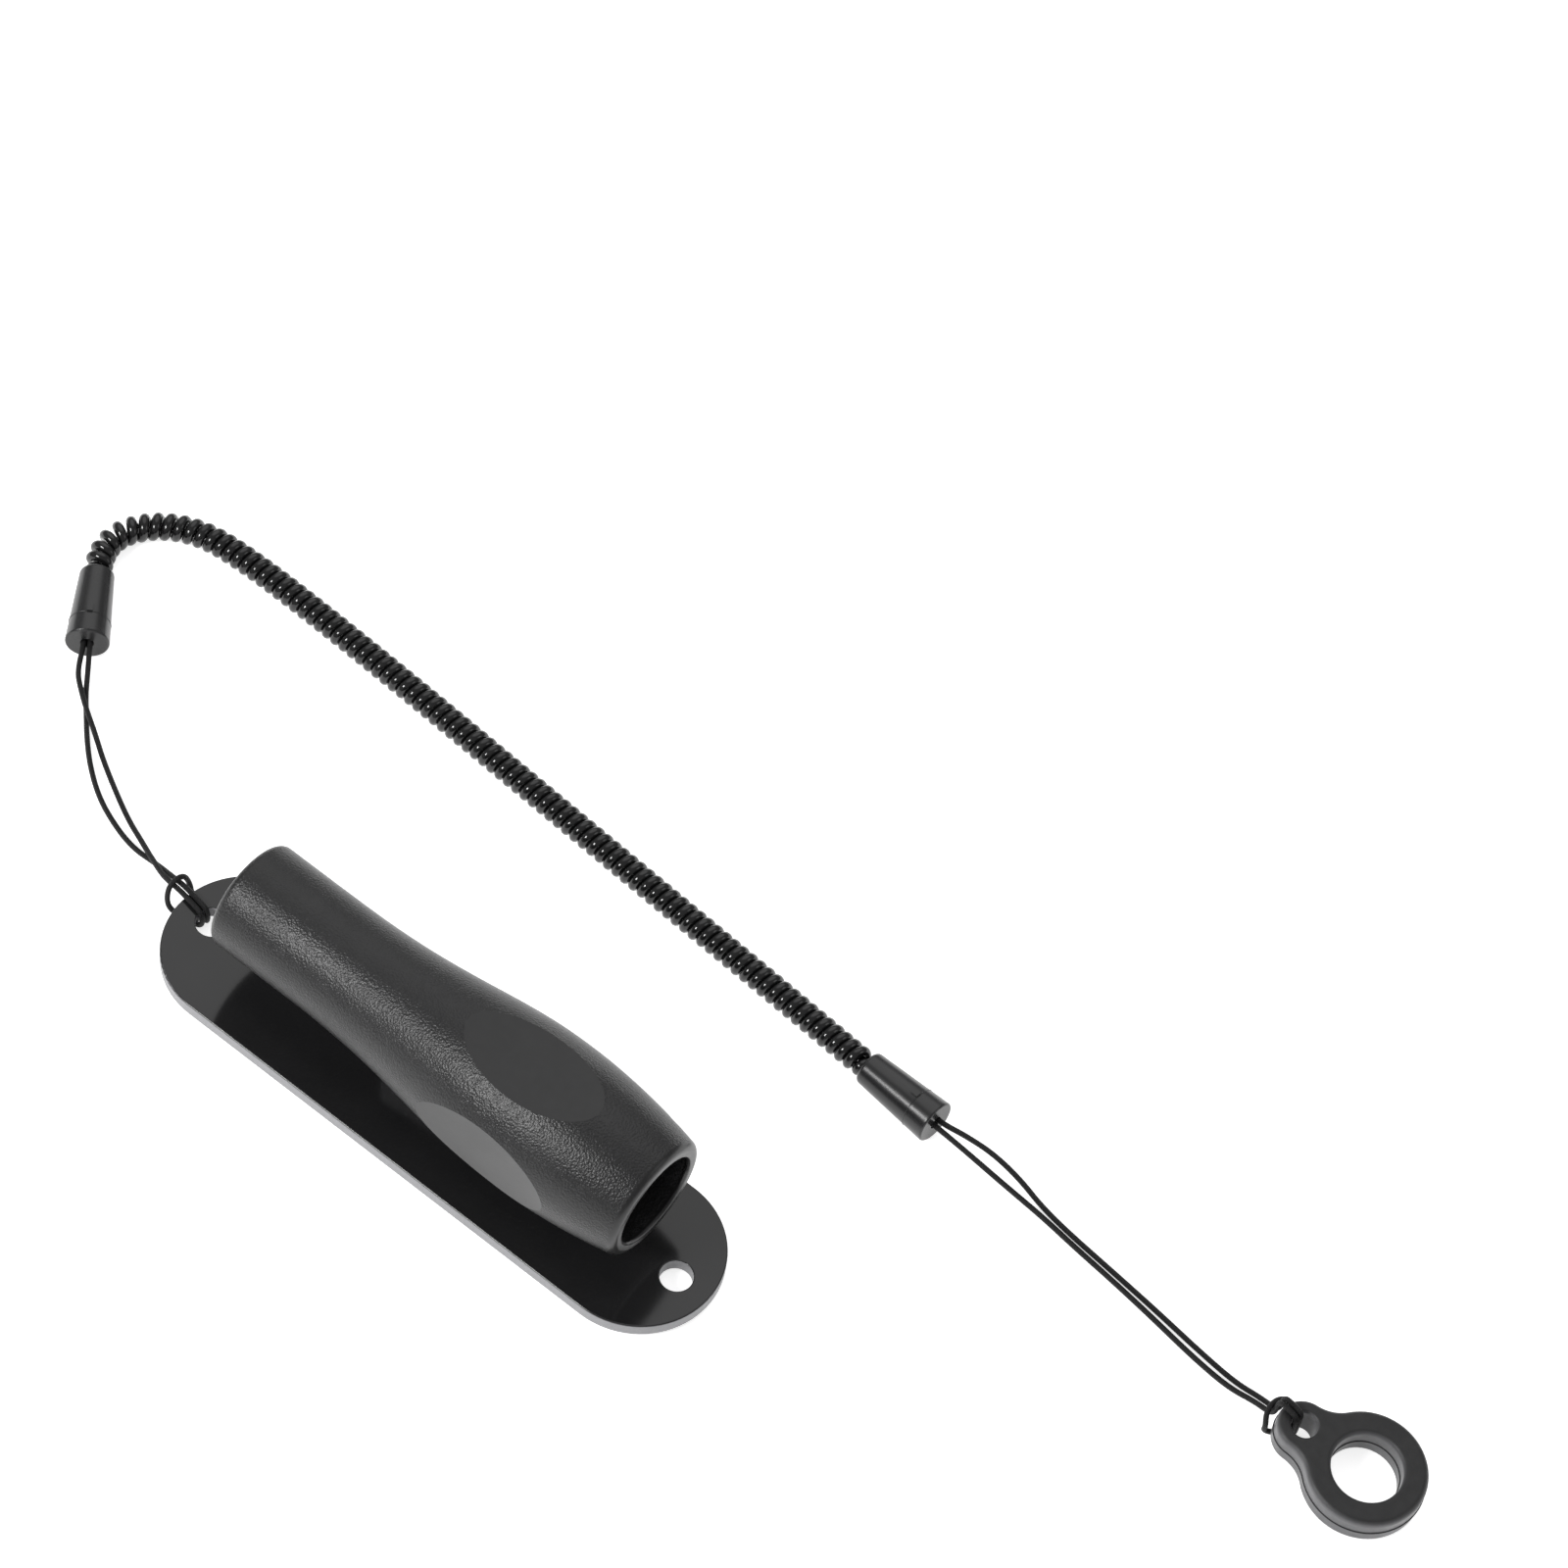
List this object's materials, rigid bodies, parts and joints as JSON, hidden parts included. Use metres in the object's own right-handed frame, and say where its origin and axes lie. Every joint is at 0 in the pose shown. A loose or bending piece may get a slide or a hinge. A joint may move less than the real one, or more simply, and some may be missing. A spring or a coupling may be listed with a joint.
{
  "type": "tethered pen holder",
  "caption": "Pen holder tube on a flat adhesive base plate, with a coiled tether, two cord loops with ferrules and a rubber ring that grips the pen.",
  "frame": {"origin": "under the middle of the base plate, on the surface that the adhesive pad lies on", "axes": "+X along the base plate towards the holder's open mouth, +Z away from the surface, +Y towards the side on which the tether lies"},
  "size_m": [0.3108, 0.0844, 0.0378],
  "materials": {
    "plate": "gloss",
    "foam": "matte foam tape",
    "holder": "fine grained satin",
    "screw": "zinc plated",
    "ferrule": "gloss",
    "coil": "gloss",
    "braid": "braided",
    "ring": "matte"
  },
  "bodies": {
    "holder": {"base_plate": "plate", "adhesive_pad": "foam", "holder_tube": "holder", "foot_screws": "screw"},
    "tether": {"plate_loop_cord": "braid", "rear_ferrule_shell": "ferrule", "rear_ferrule_plug": "ferrule", "rear_coil_stop": "coil", "rear_loop_knot": "braid", "coil_cord": "coil"},
    "tether_end": {"front_coil_stop": "coil", "front_ferrule_shell": "ferrule", "front_ferrule_plug": "ferrule", "front_loop_knot": "braid", "ring_loop_cord": "braid"},
    "ring": {"pen_ring": "ring"}
  },
  "joints": [
    {"name": "tether_swing", "type": "hinge", "parent": "holder", "child": "tether", "pos_m": [-0.0549, 0, 0.0043], "axis": [0, 0, 1], "range_deg": [-15, 35]},
    {"name": "coil_stretch", "type": "slide", "parent": "tether", "child": "tether_end", "axis": [0.9963, -0.0854, 0], "range_m": [0, 0.15], "stiffness_N_per_m": 8},
    {"name": "ring_swing", "type": "hinge", "parent": "tether_end", "child": "ring", "pos_m": [0.15715, 0.0489, 0.00461], "axis": [0.0522, 0.0041, 0.9986], "range_deg": [-60, 60]}
  ]
}
